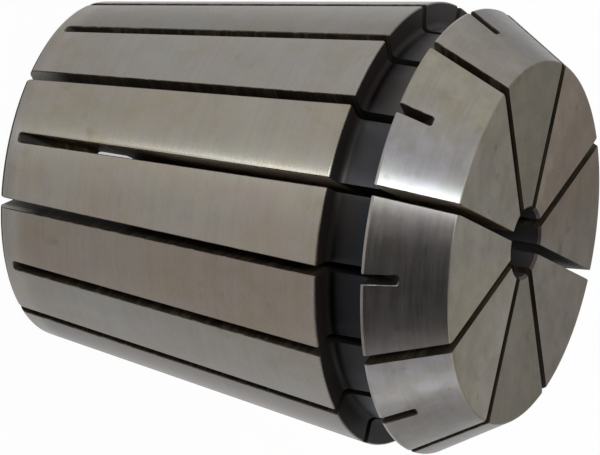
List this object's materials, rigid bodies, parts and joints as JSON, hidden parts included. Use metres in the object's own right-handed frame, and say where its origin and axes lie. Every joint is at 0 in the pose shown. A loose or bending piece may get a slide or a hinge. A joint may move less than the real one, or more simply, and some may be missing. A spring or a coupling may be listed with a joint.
{
  "type": "er collet",
  "caption": "Slotted steel spring collet with a long rear taper, an extraction groove and a conical nose, which closes on a round tool shank.",
  "frame": {"origin": "centre of the small rear face, which the collet stands on", "axes": "+Z along the collet's axis, from the rear face to the nose; +X through the middle of a slot that opens at the nose"},
  "size_m": [0.041, 0.041, 0.046],
  "materials": {
    "ground_steel": "hardened and ground, fine lines round the axis"
  },
  "bodies": {
    "root": {"collet": "ground_steel"}
  },
  "joints": []
}
